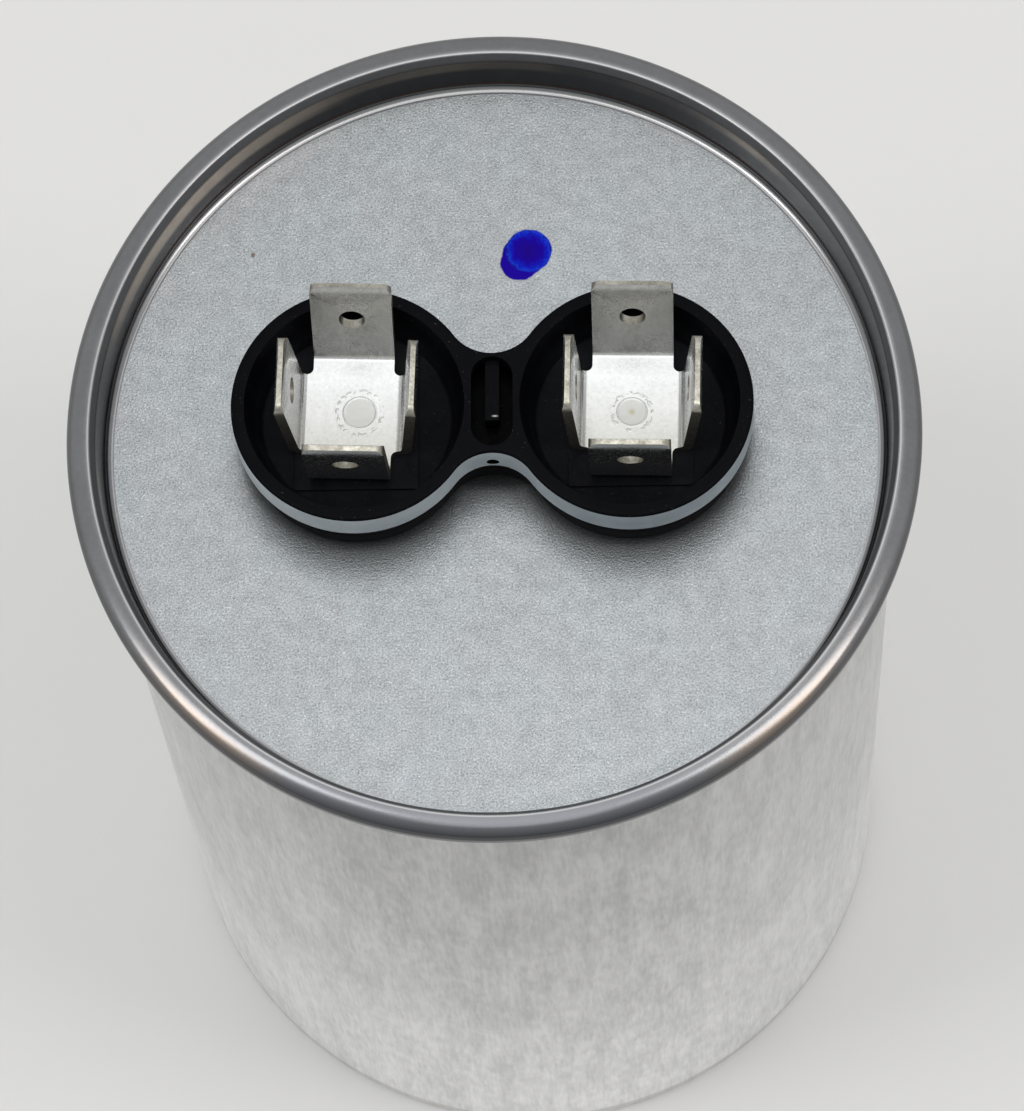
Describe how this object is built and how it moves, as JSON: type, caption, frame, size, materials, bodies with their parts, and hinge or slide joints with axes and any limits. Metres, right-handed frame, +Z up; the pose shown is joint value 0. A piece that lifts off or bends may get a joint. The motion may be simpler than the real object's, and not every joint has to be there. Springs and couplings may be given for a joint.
{
  "type": "motor run capacitor",
  "caption": "Round metal-can motor run capacitor with a rolled top seam, recessed lid and black moulded block carrying push-on blade terminals.",
  "frame": {"origin": "centre of the can's flat bottom", "axes": "+Z up the can's axis towards the terminals, +X from the left terminal to the right one, -Y towards the viewer"},
  "size_m": [0.0672, 0.0672, 0.109],
  "materials": {
    "can_metal": "drawn aluminium, streaked along its height, satin",
    "lid_metal": "matte grey sheet with a fine sparkling grain",
    "block_plastic": "moulded black plastic, semi-gloss",
    "gasket_rubber": "matte black rubber",
    "terminal_plate": "plated sheet, satin, with weld marks on the base",
    "stud_metal": "turned brass",
    "bushing_plastic": "moulded, matte",
    "washer_metal": "plated steel",
    "board": "pressed fibre board",
    "spacer_plastic": "moulded, matte",
    "film": "tightly wound metallised film",
    "sprayed_zinc": "rough sprayed metal",
    "wrap_film": "wrapped film",
    "tinned_wire": "tinned wire",
    "sleeve_plastic": "woven insulating sleeve",
    "solder": "bright solder"
  },
  "bodies": {
    "root": {"can": "can_metal", "lid": "lid_metal", "terminal_block": "block_plastic", "block_gasket": "gasket_rubber", "terminal_left": "terminal_plate", "terminal_right": "terminal_plate", "stud_left": "stud_metal", "stud_right": "stud_metal", "bushing_left": "bushing_plastic", "bushing_right": "bushing_plastic", "stud_washer_left": "washer_metal", "stud_washer_right": "washer_metal", "interrupter_disc": "board", "top_spacer": "spacer_plastic", "winding": "film", "core_tube": "spacer_plastic", "end_spray_top": "sprayed_zinc", "end_spray_bottom": "sprayed_zinc", "winding_wrap": "wrap_film", "bottom_insulator": "board", "short_lead": "tinned_wire", "long_lead": "tinned_wire", "lead_sleeve": "sleeve_plastic", "solder_stud_left": "solder", "solder_stud_right": "solder", "solder_spray_top": "solder", "solder_spray_bottom": "solder"}
  },
  "joints": []
}
